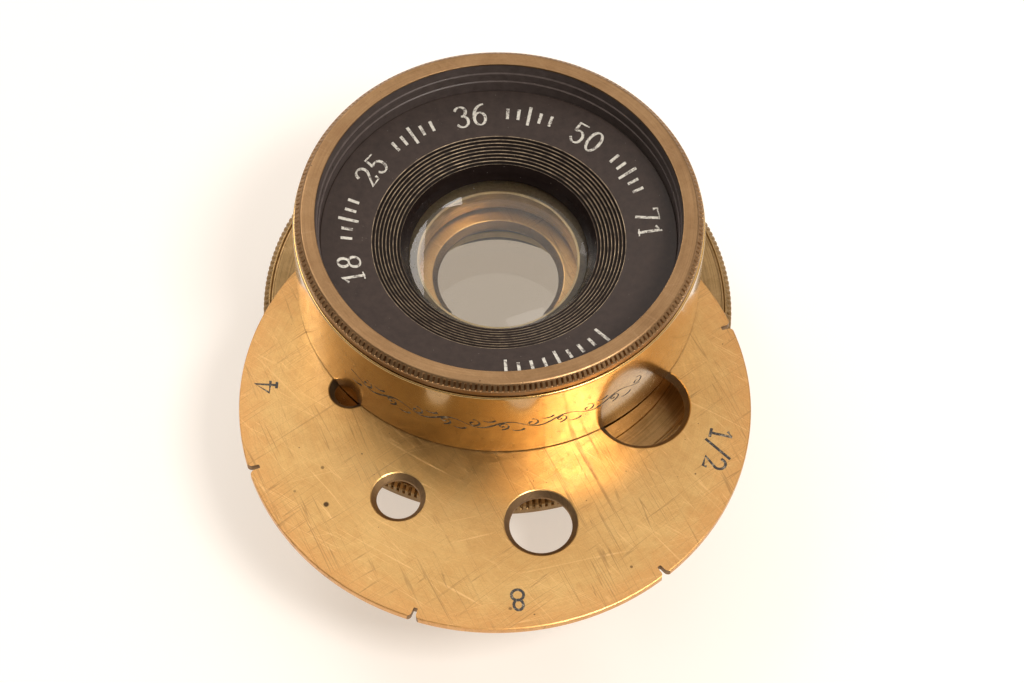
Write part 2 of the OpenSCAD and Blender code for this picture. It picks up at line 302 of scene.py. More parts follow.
def build_front_cell():
    """Knurled rim with the threaded tube that screws into the barrel."""
    bore = 13.36
    flat_r = 14.34
    seat = BARREL_TOP + 0.12
    tube_r = FRONT_BORE_R - 0.05
    outline = [
        (bore, RIM_TOP, 0.05), (flat_r, RIM_TOP, 0.05),
        (flat_r + 0.1, RIM_TOP - 0.06, 0.03), (RIM_R - 0.03, RIM_TOP - 0.45, 0.05),
        (RIM_R, RIM_TOP - 0.55, 0.04), (RIM_R, seat, 0.06), (tube_r, seat, 0.02),
        (tube_r, CELL_BOTTOM, 0.1), (11.8, CELL_BOTTOM), (11.8, 9.2), (13.1, 9.2),
        (13.1, 11.5, 0.03), (13.2, 11.55, 0.03), (13.2, 12.35, 0.03), (13.3, 12.42, 0.03),
        (bore - 0.01, RIM_TOP - 0.12, 0.02),
    ]
    knurl_low = RIM_TOP - 0.43
    knurl_high = RIM_TOP - 0.15
    uneven = uneven_notches(KNURL_COUNT, 0.16)

    def on_knurl(r, z):
        return r > flat_r + 0.02 and knurl_low - 0.15 < z < knurl_high + 0.08

    def on_thread(r, z):
        return abs(r - tube_r) < 0.01

    def relief(angle, r, z):
        knurl = notches(angle, KNURL_COUNT, 0.13, 0.2, uneven)
        knurl = knurl * fade(z, knurl_low, knurl_high, 0.05) * (r > flat_r + 0.02)
        thread = screw_thread(angle, z, CELL_BOTTOM + 0.4, seat - 0.5) * (np.abs(r - tube_r) < 0.01)
        return knurl + thread

    points = densify(densify(soften(outline), on_knurl, 0.045), on_thread, 0.06)
    return revolve("front_cell_knurled", points, KNURL_COUNT * 8, relief,
                   lambda r, z: (r < bore - 0.01) & (z > 9.1))


def build_front_face():
    """Black cone with turned grooves round the front glass."""
    outer = np.array(GROOVES_OUTER)
    inner = np.array(GROOVES_INNER)
    depth = 0.16
    outline = [(13.1, 9.2), (13.1, 10.44, 0.02), (*FACE_EDGE, 0.03), (*GROOVES_OUTER, 0.015)]
    for i in range(GROOVE_COUNT):
        for part, drop, radius in ((0.14, 0, 0.012), (0.57, depth, 0.02), (1, 0, 0.012)):
            point = outer + (inner - outer) * (i + part) / GROOVE_COUNT
            outline.append((point[0], point[1] - drop, radius))
    outline += [
        (6.91, 8.6, 0.05), (6.6, 7.9), (7.0, 7.9), (7.0, 5.1), (7.7, 5.1), (7.7, 8.4),
        (11.6, 8.4), (11.6, 9.2),
    ]
    return revolve("front_face_grooved", soften(outline, 0.03), 360,
                   paint=lambda r, z: (r < 7.2) & (z < 9.1))


def build_barrel():
    """Barrel tube with the mounting thread and the saw cut for the wheel."""
    bore = 12.0
    outline = [
        (bore, BARREL_END), (THREAD_R - 0.3, BARREL_END, 0.05),
        (THREAD_R, BARREL_END + 0.3, 0.05), (THREAD_R, 0, 0.02), (NECK_R, 0, 0.02),
        (NECK_R, WHEEL_TOP + SLOT_GAP, 0.02), (BARREL_R, WHEEL_TOP + SLOT_GAP, 0.02),
        (BARREL_R, BARREL_TOP, 0.12), (FRONT_BORE_R, BARREL_TOP, 0.08),
        (FRONT_BORE_R, PLATE_BOTTOM), (bore, PLATE_BOTTOM),
    ]

    def on_thread(r, z):
        return abs(r - THREAD_R) < 0.01 and z < 0

    def relief(angle, r, z):
        return screw_thread(angle, z, BARREL_END + 0.35, -0.45) * (np.abs(r - THREAD_R) < 0.01)

    points = densify(soften(outline), on_thread, 0.06)
    barrel = revolve("barrel_turned", points, 400, relief, smooth_angle=35)
    slot_bottom = WHEEL_BOTTOM - SLOT_GAP
    slot_top = WHEEL_TOP + SLOT_GAP
    corners = ((0, slot_bottom), (SLOT_REACH, slot_bottom), (SLOT_REACH, slot_top), (0, slot_top))
    slot = revolve("slot_cutter", [np.array(p) for p in corners], 400)
    slot.data.transform(Matrix.Translation((0, PIVOT_Y * MM, 0)))
    return cut(barrel, slot, 35)


def build_shoulder_ring():
    """Knurled ring that seats on the lens board."""
    groove_r = 16.95
    outline = [
        (NECK_R, 0), (SHOULDER_R - 0.16, 0, 0.08), (SHOULDER_R - 0.1, 0.16, 0.05),
        (SHOULDER_R - 0.08, 0.74, 0.03), (SHOULDER_R, 0.82, 0.04),
        (SHOULDER_R, SHOULDER_H - 0.40, 0.08), (SHOULDER_R - 0.40, SHOULDER_H, 0.06),
        (groove_r + 0.2, SHOULDER_H, 0.03), (groove_r + 0.14, SHOULDER_H - 0.14, 0.03),
        (groove_r, SHOULDER_H - 0.12, 0.03), (groove_r - 0.04, SHOULDER_H - 0.04, 0.02),
        (NECK_R, SHOULDER_H - 0.02),
    ]
    uneven = uneven_notches(KNURL_COUNT, 0.12)
    low = 0.86
    high = SHOULDER_H - 0.06

    def on_knurl(r, z):
        return r > SHOULDER_R - 0.45 and low - 0.1 < z <= SHOULDER_H

    def relief(angle, r, z):
        knurl = notches(angle, KNURL_COUNT, 0.17, 0.26, uneven) * fade(z, low, high, 0.05)
        return knurl * fade(r, SHOULDER_R - 0.34, SHOULDER_R + 1, 0.06)

    points = densify(soften(outline), on_knurl, 0.07)
    return revolve("shoulder_ring_knurled", points, KNURL_COUNT * 8, relief)


def build_rear_cell():
    """Knurled rear rim that the lens stands on, with its threaded tube."""
    seat = BARREL_END - 0.12
    tube_r = 11.95
    bore = REAR_CONE_END[0]
    outline = [
        (tube_r, REAR_CELL_TOP, 0.1), (tube_r, seat, 0.02), (REAR_RIM_R - 0.35, seat, 0.08),
        (REAR_RIM_R, seat - 0.35, 0.08), (REAR_RIM_R, REAR_RIM_Z + 0.4, 0.06),
        (REAR_RIM_R - 0.35, REAR_RIM_Z, 0.08), (13.2, REAR_RIM_Z, 0.08),
        (*REAR_CONE_END, 0.02), (bore, -0.6), (9.6, -0.6), (9.6, 0.2), (bore, 0.2),
        (bore, REAR_CELL_TOP, 0.08),
    ]
    count = 216
    uneven = uneven_notches(count, 0.14)
    low = REAR_RIM_Z + 0.45
    high = seat - 0.2

    def on_knurl(r, z):
        return r > REAR_RIM_R - 0.4 and z > REAR_RIM_Z + 0.2

    def on_thread(r, z):
        return abs(r - tube_r) < 0.01

    def relief(angle, r, z):
        knurl = notches(angle, count, 0.16, 0.29, uneven) * fade(z, low, high, 0.08) * (r > 13.7)
        thread = screw_thread(angle, z, seat + 0.6, REAR_CELL_TOP - 0.4, -1)
        return knurl + thread * (np.abs(r - tube_r) < 0.01)

    points = densify(densify(soften(outline), on_knurl, 0.07), on_thread, 0.06)
    return revolve("rear_cell_knurled", points, count * 8, relief,
                   lambda r, z: ((z < -3.6) & (r < 13.15)) | ((r < bore + 0.05) & (z < 0)))


def build_rear_face():
    """Black stepped cone behind the rear glass."""
    lip = np.array([6.75, -0.2])
    end = np.array(REAR_CONE_END)
    steps = 7
    outline = [(7.7, 2.1), (7.0, 2.1), (7.0, 0.31), (6.6, 0.31), (*lip, 0.03)]
    for i in range(steps):
        a = lip + (end - lip) * i / steps
        b = lip + (end - lip) * (i + 1) / steps
        outline += [(a[0], b[1], 0.03), (b[0], b[1], 0.02)]
    outline += [(REAR_CONE_END[0], -0.6), (9.4, -0.6), (9.4, 0.6), (7.7, 0.6)]
    return revolve("rear_face_stepped", soften(outline, 0.04), 360)


# ---------- stop wheel


def hole_cutter(angle, diameter):
    """Plug with a bevel at the wheel's front and a little rounding at both faces."""
    r = diameter / 2
    lip = 0.04
    outline = [
        (0, WHEEL_BOTTOM - 0.3), (r + 0.3, WHEEL_BOTTOM - 0.3), (r, WHEEL_BOTTOM + 0.03),
        (r, WHEEL_TOP - BEVEL), (r + 0.03, WHEEL_TOP - BEVEL + 0.05),
        (r + BEVEL - lip, WHEEL_TOP - lip), (r + BEVEL + lip, WHEEL_TOP),
        (r + BEVEL + 8 * lip, WHEEL_TOP + lip), (r + BEVEL + 8 * lip, WHEEL_TOP + 0.3),
        (0, WHEEL_TOP + 0.3),
    ]
    plug = revolve("hole_cutter", [np.array(p) for p in outline], 160)
    around = math.radians(angle)
    centre = Vector((-PIVOT_Y * math.cos(around), PIVOT_Y - PIVOT_Y * math.sin(around), 0)) * MM
    plug.data.transform(Matrix.Translation(centre))
    return plug


def notch_cutter(angle):
    """Click notch with a flat floor and worn, flaring lips."""
    floor_half = 0.15
    half = [(WHEEL_R - NOTCH_DEPTH, 0.1), (WHEEL_R - NOTCH_DEPTH + 0.05, floor_half)]
    for u in np.linspace(0, 1, 7):
        half.append((WHEEL_R - 0.35 + 0.37 * u, floor_half + 0.02 + 0.28 * u ** 2.2))
    half.append((WHEEL_R + 0.4, 0.6))
    plan = half + [(x, -y) for x, y in reversed(half)]
    count = len(plan)
    vertices = [(x, y, WHEEL_BOTTOM - 0.3) for x, y in plan]
    vertices += [(x, y, WHEEL_TOP + 0.3) for x, y in plan]
    faces = [list(range(count))[::-1], list(range(count, 2 * count))]
    faces += [[i, (i + 1) % count, count + (i + 1) % count, count + i] for i in range(count)]
    wedge = new_object("notch_cutter", vertices, faces)
    fix_normals(wedge)
    turn = Matrix.Rotation(math.radians(angle), 4, "Z")
    wedge.data.transform(Matrix.Translation((0, PIVOT_Y * MM, 0)) @ turn)
    return wedge


def build_stop_wheel():
    """Brass disc with five bevelled stop holes and their click notches."""
    edge = 0.09
    outline = [
        (BUSH_R, WHEEL_BOTTOM), (WHEEL_R - edge, WHEEL_BOTTOM),
        (WHEEL_R - 0.3 * edge, WHEEL_BOTTOM + 0.3 * edge), (WHEEL_R, WHEEL_BOTTOM + edge),
        (WHEEL_R, WHEEL_TOP - edge), (WHEEL_R - 0.3 * edge, WHEEL_TOP - 0.3 * edge),
        (WHEEL_R - edge, WHEEL_TOP), (BUSH_R, WHEEL_TOP),
    ]
    wheel = revolve("stop_wheel_bored", [np.array(p) for p in outline], 720)
    wheel.data.transform(Matrix.Translation((0, PIVOT_Y * MM, 0)))
    cutters = [hole_cutter(*hole) for hole in HOLES]
    cutters += [notch_cutter(angle + NOTCH_LEAD) for angle, _ in HOLES]
    cut(wheel, join(cutters, "wheel_cutter"), 14)
    mark_shaded_walls(wheel)
    return wheel


def mark_shaded_walls(wheel):
    """Gives the walls and bevels of the holes and notches the wheel's second material, a darker
    brass that paints shade into them.
    """
    for face in wheel.data.polygons:
        middle = face.center / MM
        from_pivot = math.hypot(middle.x, middle.y - PIVOT_Y)
        in_wall = WHEEL_BOTTOM + 0.01 < middle.z < WHEEL_TOP - 0.045
        if in_wall and BUSH_R + 0.1 < from_pivot < WHEEL_R - 0.02:
            face.material_index = 1


# ---------- glass


def surface(apex, radius, count=28):
    """Points of a spherical surface from the axis outwards. Its centre is below the apex."""
    centre = apex - radius
    return [(r, centre + math.sqrt(radius ** 2 - r ** 2)) for r in np.linspace(0, GLASS_R, count)]


def lens(name, upper, lower, cemented_side, flip_about=None):
    """A glass element between two surfaces. flip_about turns it over about an apex height.

    The ground edges take the second material and the cemented side takes the third.
    """
    points = [np.array(p) for p in upper + lower[::-1]]
    if flip_about is not None:
        points = [np.array((p[0], 2 * flip_about - p[1])) for p in points]
    obj = revolve(name, points, 200, smooth_angle=30)
    for face in obj.data.polygons:
        middle = face.center / MM
        outward = math.hypot(face.normal.x, face.normal.y)
        flat_ring = abs(face.normal.z) > 0.9999 and math.hypot(middle.x, middle.y) > GLASS_FLAT_R
        inward_side = face.normal.z * cemented_side > 0.5
        if outward > 0.97 or flat_ring:
            face.material_index = 1
        elif inward_side:
            face.material_index = 2
    return obj


def build_lenses(side):
    """The crown and the flint of one cemented pair, with a hair of room between them."""
    outer_curve, cement_curve, inner_curve = 28, 26, 31
    thickness = 1.3
    crown_share = 0.4
    hair = 0.002
    apex = FRONT_APEX if side == "front" else REAR_APEX
    flip = None if side == "front" else REAR_APEX
    cement = apex - crown_share * thickness
    back = apex - thickness
    flat_z = back - (inner_curve - math.sqrt(inner_curve ** 2 - GLASS_FLAT_R ** 2))
    outer = surface(apex, outer_curve)
    inner = [(r, max(z, flat_z)) for r, z in surface(back, inner_curve)]
    inward = -1 if side == "front" else 1
    crown = lens(f"{side}_crown", outer, surface(cement + hair, cement_curve), inward, flip)
    flint = lens(f"{side}_flint", surface(cement, cement_curve), inner, -inward, flip)
    return crown, flint


# ---------- engraved marks


def arc(cx, cy, rx, ry, start, end, count=14):
    """Points of part of an ellipse, angles in degrees."""
    turns = np.radians(np.linspace(start, end, count))
    return [(cx + rx * math.cos(t), cy + ry * math.sin(t)) for t in turns]


# Each numeral is a list of strokes in a cell 0.6 wide and 1 high.
NUMERALS = {
    "0": [arc(0.3, 0.5, 0.27, 0.5, 0, 360, 30)],
    "1": [[(0.12, 0.78), (0.32, 1.0), (0.32, 0.0)], [(0.14, 0.0), (0.5, 0.0)]],
    "2": [arc(0.3, 0.72, 0.26, 0.28, 165, -35) + [(0.04, 0.02), (0.56, 0.02), (0.57, 0.14)]],
    "3": [arc(0.28, 0.76, 0.24, 0.24, 150, -80), arc(0.28, 0.27, 0.28, 0.27, 85, -150)],
    "4": [[(0.44, 0.0), (0.44, 1.0), (0.02, 0.3), (0.6, 0.3)], [(0.32, 0.0), (0.56, 0.0)]],
    "5": [[(0.52, 0.98), (0.12, 0.98), (0.09, 0.55)] + arc(0.29, 0.31, 0.27, 0.31, 125, -150)],
    "6": [arc(0.3, 0.3, 0.26, 0.3, 0, 360, 24), arc(0.52, 0.36, 0.48, 0.64, 175, 95)],
    "7": [[(0.05, 0.84), (0.06, 0.98), (0.56, 0.98), (0.22, 0.0)]],
    "8": [arc(0.3, 0.74, 0.21, 0.25, 0, 360, 24), arc(0.3, 0.25, 0.27, 0.26, 0, 360, 24)],
    "/": [[(-0.1, -0.12), (0.62, 1.1)]],
    "|": [[(0.1, 0.1), (0.1, 0.9)]],
    "'": [[(0.08, 0.3), (0.08, 0.7)]],
}
NUMERAL_ADVANCE = 0.62
ADVANCE = {"/": 0.5, "|": 0.4, "'": 0.34}


def text_strokes(text, height):
    """Strokes of a row of numerals, centred on the origin."""
    spacing = 0.2
    pen = 0
    strokes = []
    for letter in text:
        for stroke in NUMERALS[letter]:
            strokes.append([((x + pen) * height, (y - 0.5) * height) for x, y in stroke])
        pen += ADVANCE.get(letter, NUMERAL_ADVANCE) + spacing
    middle = (pen - spacing) * height / 2
    return [[(x - middle, y) for x, y in stroke] for stroke in strokes]


def ribbon(strokes, width, place, proud):
    """Vertices and faces of flat strokes laid on a surface.

    place(x, y, height) maps a drawing point to the part. width(direction) may vary.
    """
    sunk = 0.04
    ring = 5
    vertices = []
    faces = []
    for stroke in strokes:
        line = np.array(stroke, float)
        ahead = np.gradient(line, axis=0)
        ahead /= np.linalg.norm(ahead, axis=1, keepdims=True) + 1e-12
        side = np.stack([-ahead[:, 1], ahead[:, 0]], axis=1)
        closed = np.linalg.norm(line[0] - line[-1]) < 1e-6
        if not closed:
            line[0] -= ahead[0] * width(ahead[0]) * 0.4
            line[-1] += ahead[-1] * width(ahead[-1]) * 0.4
        first = len(vertices)
        for point, across, along in zip(line, side, ahead):
            half = width(along) / 2
            left = point + across * half
            right = point - across * half
            for spot, height in ((left, -sunk), (left, proud * 0.4), (point, proud),
                                 (right, proud * 0.4), (right, -sunk)):
                vertices.append(place(spot[0], spot[1], height))
        for i in range(len(line) - 1):
            for k in range(ring):
                a = first + i * ring + k
                b = first + i * ring + (k + 1) % ring
                faces.append([a, b, b + ring, a + ring])
        faces.append([first + k for k in range(ring)][::-1])
        last = first + (len(line) - 1) * ring
        faces.append([last + k for k in range(ring)])
    return vertices, faces


def stroke_object(name, vertices, faces):
    obj = new_object(name, vertices, faces, 60)
    fix_normals(obj)
    return obj


def engrave(name, labels, place_for, height, width, proud=0.008):
    """One object of several labels. place_for(where) gives each label's place function."""
    vertices = []
    faces = []
    for text, where in labels:
        strokes = text_strokes(text, height)
        new_vertices, new_faces = ribbon(strokes, width, place_for(where), proud)
        offset = len(vertices)
        vertices += new_vertices
        faces += [[offset + i for i in face] for face in new_faces]
    return stroke_object(name, vertices, faces)


def on_wheel(where):
    """Label place on the wheel's front, with its top towards the edge."""
    angle, radius = where
    out = np.array([math.cos(math.radians(angle)), math.sin(math.radians(angle))])
    along = np.array([out[1], -out[0]])
    middle = np.array([0, PIVOT_Y]) + out * radius

    def place(x, y, height):
        point = middle + along * x + out * y
        return (point[0], point[1], WHEEL_TOP + height)

    return place


def on_face(where):
    """Label place on the black cone, curved round the optical axis, tops outwards."""
    angle, radius = where
    low_r, low_z = GROOVES_OUTER
    high_r, high_z = FACE_EDGE
    slope = (high_z - low_z) / (high_r - low_r)

    def place(x, y, height):
        r = radius + y
        around = math.radians(angle) - x / radius
        z = low_z + (r - low_r) * slope + height
        return (r * math.cos(around), r * math.sin(around), z)

    return place


def on_barrel(x, y, height):
    """Ornament place on the barrel's side, below the rim and over the wheel."""
    around = math.radians(-90) + x / BARREL_R
    r = BARREL_R + height
    return (r * math.cos(around), r * math.sin(around), SCROLL_Z + y)


def build_wheel_numbers():
    labels = [("8", (276.7, 16.4)), ("4", (177.7, 16.8)), ("1/2", (347.1, 16.6)),
              ("1", (50.9, 16.6)), ("2", (109.1, 16.6))]
    return engrave("wheel_numbers", labels, on_wheel, 1.6, lambda direction: 0.21)


def build_face_numbers():
    """Plain dial of stop numbers and ticks."""
    radius = 11.15
    numbers = ["18", "25", "36", "50", "71"]
    first, last = 196, 8
    step = (last - first) / (len(numbers) - 1)
    labels = []
    for i, number in enumerate(numbers):
        angle = first + (last - first) * i / (len(numbers) - 1)
        labels.append((number, (angle, radius)))
        if i < len(numbers) - 1:
            for k, mark in enumerate("''|''"):
                labels.append((mark, (angle + step * (0.32 + 0.09 * k), radius)))
    lower_start, lower_step = -48, 4.9
    for k in range(9):
        mark = "|" if k % 4 == 0 else "'"
        labels.append((mark, (lower_start - lower_step * k, radius)))
    return engrave("face_numbers", labels, on_face, 1.65,
                   lambda direction: 0.1 + 0.13 * abs(direction[1]), 0.012)


def build_barrel_scroll():
    """Engraved running vine: a wavy stem with curled tendrils and small leaves."""
    half_length = 11.4
    wave = 4.2
    along = np.linspace(-half_length, half_length, 150)
    strokes = [[(x, 0.42 * math.sin(TURN * x / wave)) for x in along]]
    for k in range(-5, 6):
        side = 1 if k % 2 else -1
        start = k * wave / 2 + 0.35
        curl = []
        for turn in np.linspace(0, 380, 40):
            size = 0.52 * (1 - turn / 460)
            around = math.radians(turn)
            x = start + 0.25 + size * math.sin(around)
            curl.append((x, side * (0.12 + size * math.cos(around)) * 0.95))
        strokes.append(curl)
        leaf = arc(start - 0.75, side * -0.62, 0.42, 0.2, 200, 350, 10)
        strokes.append(leaf)

    def width(direction):
        return 0.05 + 0.16 * abs(0.7 * direction[0] + 0.7 * direction[1]) ** 2

    return stroke_object("barrel_scroll", *ribbon(strokes, width, on_barrel, 0.006))


# ---------- materials


class Recipe:
    """A procedural material, built one node at a time. Its coordinates are in millimetres."""

    def __init__(self, name):
        self.material = bpy.data.materials.new(name)
        self.material.use_nodes = True
        self.tree = self.material.node_tree
        self.tree.nodes.clear()
        self.output = self.tree.nodes.new("ShaderNodeOutputMaterial")
        self.shader = self.tree.nodes.new("ShaderNodeBsdfPrincipled")
        self.tree.links.new(self.shader.outputs[0], self.output.inputs["Surface"])
        self._here = None

    def put(self, socket, value):
        """Sets a socket to a number, a colour or another node's output."""
        if isinstance(value, bpy.types.NodeSocket):
            self.tree.links.new(value, socket)
        elif isinstance(value, (tuple, list)) and len(value) == 3 and len(socket.default_value) == 4:
            socket.default_value = (*value, 1)
        else:
            socket.default_value = value

    def node(self, kind, inputs=None, **settings):
        made = self.tree.nodes.new("ShaderNode" + kind)
        for key, value in settings.items():
            setattr(made, key, value)
        for key, value in (inputs or {}).items():
            self.put(made.inputs[key], value)
        return made

    def set(self, **values):
        for key, value in values.items():
            self.put(self.shader.inputs[key.replace("_", " ")], value)

    def here(self):
        """Object position in millimetres."""
        if self._here is None:
            place = self.node("TexCoord").outputs["Object"]
            self._here = self.vector("SCALE", place, scale=1 / MM)
        return self._here

    def vector(self, operation, a, b=None, scale=None):
        made = self.node("VectorMath", operation=operation)
        self.put(made.inputs[0], a)
        if b is not None:
            self.put(made.inputs[1], b)
        if scale is not None:
            made.inputs["Scale"].default_value = scale
        length = operation in ("LENGTH", "DISTANCE")
        return made.outputs["Value" if length else "Vector"]

    def math(self, operation, a, b=0.0):
        made = self.node("Math", operation=operation)
        self.put(made.inputs[0], a)
        self.put(made.inputs[1], b)
        return made.outputs[0]

    def times(self, a, b):
        return self.math("MULTIPLY", a, b)

    def plus(self, a, b):
        return self.math("ADD", a, b)

    def noise(self, where, scale, detail=2.0, roughness=0.5, distortion=0.0):
        inputs = {"Vector": where, "Scale": scale, "Detail": detail, "Roughness": roughness,
                  "Distortion": distortion}
        return self.node("TexNoise", inputs).outputs[0]

    def span(self, value, low, high, out_low=0.0, out_high=1.0):
        """Maps low..high to out_low..out_high, clamped."""
        inputs = {"Value": value, "From Min": low, "From Max": high, "To Min": out_low,
                  "To Max": out_high}
        return self.node("MapRange", inputs).outputs[0]

    def near(self, value, centre, full, gone):
        """1 where the value is within full of the centre, falling to 0 at gone."""
        off_centre = self.math("ABSOLUTE", self.math("SUBTRACT", value, centre))
        return self.span(off_centre, full, gone, 1.0, 0.0)

    def mix(self, share, a, b):
        """Colour a where share is 0, and b where it is 1. Sockets 6, 7 and 2 are the colour ones."""
        made = self.node("Mix", data_type="RGBA", blend_type="MIX", clamp_factor=True)
        self.put(made.inputs[0], share)
        self.put(made.inputs[6], a)
        self.put(made.inputs[7], b)
        return made.outputs[2]

    def parts(self, where):
        return self.node("SeparateXYZ", {"Vector": where}).outputs

    def radius(self, centre_y=0.0):
        """Distance from the optical axis, or from an axis moved along Y."""
        moved = self.vector("SUBTRACT", self.here(), (0.0, centre_y, 0.0))
        flat = self.vector("MULTIPLY", moved, (1.0, 1.0, 0.0))
        return self.vector("LENGTH", flat)

    def lathe_lines(self, centre_y=0.0, fineness=14.0):
        """Fine rings left by the turning tool, on flat and on upright faces alike."""
        r = self.radius(centre_y)
        x, y, z = self.parts(self.here())
        slow_x = self.times(x, 0.012)
        slow_y = self.times(y, 0.012)
        ring = self.plus(self.plus(r, slow_x), self.times(z, 1.618))
        where = self.node("CombineXYZ", {"X": ring, "Y": slow_y, "Z": slow_x}).outputs[0]
        return self.noise(where, fineness, 3.0, 0.65)

    def hairlines(self, angle, spacing, length, width, seed):
        """Long thin scratches in one direction, broken up here and there."""
        inputs = {"Vector": self.here(), "Axis": (0.05, 0.03, 1.0), "Angle": math.radians(angle),
                  "Center": (seed, -seed, 0.0)}
        turned = self.node("VectorRotate", inputs, rotation_type="AXIS_ANGLE").outputs[0]
        squeezed = self.vector("MULTIPLY", turned, (1 / length, 1 / spacing, 0.3 / spacing))
        moved = self.vector("ADD", squeezed, (seed, seed * 1.7, seed * 0.6))
        value = self.noise(moved, 1.0, 1.5, 0.45)
        line = self.near(value, 0.5, 0.0, width * 0.55 / spacing)
        gaps = self.noise(self.vector("ADD", self.here(), (seed * 3, 0.0, seed)), 0.28, 2.0)
        return self.times(line, self.span(gaps, 0.36, 0.56))

    def scratches(self, sets, strength):
        """The strongest of several sets of hairlines."""
        strongest = self.hairlines(*sets[0])
        for one_set in sets[1:]:
            strongest = self.math("MAXIMUM", strongest, self.hairlines(*one_set))
        return self.times(strongest, strength)

    def pits(self, scale, size, share, ragged=0.0):
        """Sparse dark specks. share is how many of the cells hold one."""
        cells = self.node("TexVoronoi", {"Vector": self.here(), "Scale": scale},
                          feature="F1", voronoi_dimensions="3D")
        apart = self.plus(cells.outputs["Distance"], ragged)
        spread = 0.08 if isinstance(ragged, bpy.types.NodeSocket) else 0.0
        near = self.span(apart, size * 0.5 + spread, size + spread, 1.0, 0.0)
        pick = self.parts(cells.outputs["Color"])[0]
        chosen = self.math("LESS_THAN", pick, share)
        return self.times(near, chosen)

    def bump(self, height, distance):
        return self.node("Bump", {"Height": height, "Distance": distance}).outputs[0]

    def shaded(self, colour, shade):
        """The colour times a grey shade."""
        grey = self.node("CombineXYZ", {"X": shade, "Y": shade, "Z": shade}).outputs[0]
        return self.vector("MULTIPLY", colour, grey)


SCRATCH_DIRT = (0.2, 0.11, 0.045)
PIT_BROWN = (0.075, 0.045, 0.026)
STAIN_BROWN = (0.06, 0.032, 0.016)
RING_GREY = (0.09, 0.065, 0.05)
# Painted shade for the valleys of the face's turned grooves.
VALLEY_SHADE = (0.008, 0.006, 0.005)
BARE_BRASS = (0.5, 0.38, 0.25)
DUST_GREY = (0.35, 0.32, 0.28)
GLASS_DUST = (0.5, 0.48, 0.45)
# Sets of hairlines: direction in degrees, spacing, length, width and seed.
FRESH_SCRATCHES = ((31, 0.7, 45.0, 0.009, 2.0), (-17, 0.9, 55.0, 0.009, 5.0),
                   (48, 0.5, 30.0, 0.008, 11.0))
DIRTY_SCRATCHES = ((64, 0.6, 35.0, 0.012, 8.0), (-39, 0.7, 40.0, 0.012, 14.0))


def brass(name, bright, dull, rough, lines=0.3, scratch=0.5, pit=0.3, centre_y=0.0,
          edge_tarnish=None, coat=0.0, bump=0.004, patch=0.35, stains=()):
    """Old brass: turned rings, scratches, specks and patches of tarnish."""
    mat = Recipe(name)
    here = mat.here()
    rings = mat.lathe_lines(centre_y)
    cloud = mat.noise(here, 0.16, 4.0, 0.6, 0.6)
    mottle = mat.noise(here, 1.3, 5.0, 0.65)
    grain = mat.noise(here, 9.0, 3.0, 0.6)
    tone = mat.span(mat.plus(cloud, mat.times(mottle, 0.6)), 0.62, 0.98)
    colour = mat.mix(mat.times(tone, patch * 2), bright, dull)
    if edge_tarnish is not None:
        start, end, tint = edge_tarnish
        ragged_radius = mat.plus(mat.radius(centre_y), mat.times(mottle, 2.2))
        near_edge = mat.span(ragged_radius, start, end)
        colour = mat.mix(mat.times(near_edge, 0.75), colour, tint)
    shade = mat.span(rings, 0.3, 0.7, 1 - lines * 0.55, 1 + lines * 0.35)
    shade = mat.times(shade, mat.span(grain, 0.25, 0.75, 0.93, 1.07))
    colour = mat.shaded(colour, shade)
    height = mat.plus(mat.times(rings, lines), mat.times(grain, 0.25))
    roughness = mat.span(mottle, 0.3, 0.75, rough - 0.05, rough + 0.07)
    roughness = mat.plus(roughness, mat.times(rings, 0.1))
    if scratch:
        fresh = mat.scratches(FRESH_SCRATCHES, scratch)
        dirty = mat.scratches(DIRTY_SCRATCHES, scratch)
        polished = tuple(min(1.0, c * 1.4 + 0.08) for c in bright)
        colour = mat.mix(mat.times(fresh, 0.4), colour, polished)
        colour = mat.mix(mat.times(dirty, 0.55), colour, SCRATCH_DIRT)
        marks = mat.plus(fresh, dirty)
        height = mat.math("SUBTRACT", height, mat.times(marks, 0.7))
        roughness = mat.plus(roughness, mat.times(marks, 0.1))
    if pit:
        ragged = mat.times(mat.noise(here, 2.6, 3.0, 0.6), 0.16)
        large = mat.pits(0.7, 0.05, 0.4, ragged)
        small = mat.pits(2.1, 0.11, 0.05, ragged)
        specks = mat.times(mat.math("MAXIMUM", large, small), pit)
        colour = mat.mix(specks, colour, PIT_BROWN)
        height = mat.math("SUBTRACT", height, specks)
    for x, y, size, strength in stains:
        gap = mat.vector("DISTANCE", here, (x, y, WHEEL_TOP))
        gap = mat.plus(gap, mat.times(mottle, size * 0.6))
        spot = mat.span(gap, size * 0.9, size * 1.3, strength, 0.0)
        colour = mat.mix(spot, colour, STAIN_BROWN)
    mat.set(Base_Color=colour, Metallic=1.0, Roughness=roughness)
    if coat:
        mat.set(Coat_Weight=coat, Coat_Roughness=0.1, Coat_IOR=1.6)
    mat.set(Normal=mat.bump(height, bump * MM))
    return mat.material


def worn_grooves(mat, colour, low, high, count):
    """Brass on the crests of the turned grooves, and painted shade darkening the valleys between
    them.
    """
    r = mat.radius()
    saw = mat.math("FRACT", mat.times(mat.math("SUBTRACT", high, r), count / (high - low)))
    above = mat.math("GREATER_THAN", r, low - 0.03)
    inside = mat.times(above, mat.math("LESS_THAN", r, high + 0.03))
    crest = mat.times(mat.near(saw, 0.07, 0.07, 0.13), inside)
    valley_shade = mat.times(mat.near(saw, 0.5, 0.2, 0.34), inside)
    wear = mat.span(mat.noise(mat.here(), 1.7, 5.0, 0.7), 0.36, 0.62, 0.1, 1.0)
    wear = mat.times(crest, wear)
    mat.set(Metallic=mat.times(wear, 0.7))
    colour = mat.mix(mat.times(valley_shade, 0.8), colour, VALLEY_SHADE)
    return mat.mix(wear, colour, BARE_BRASS)


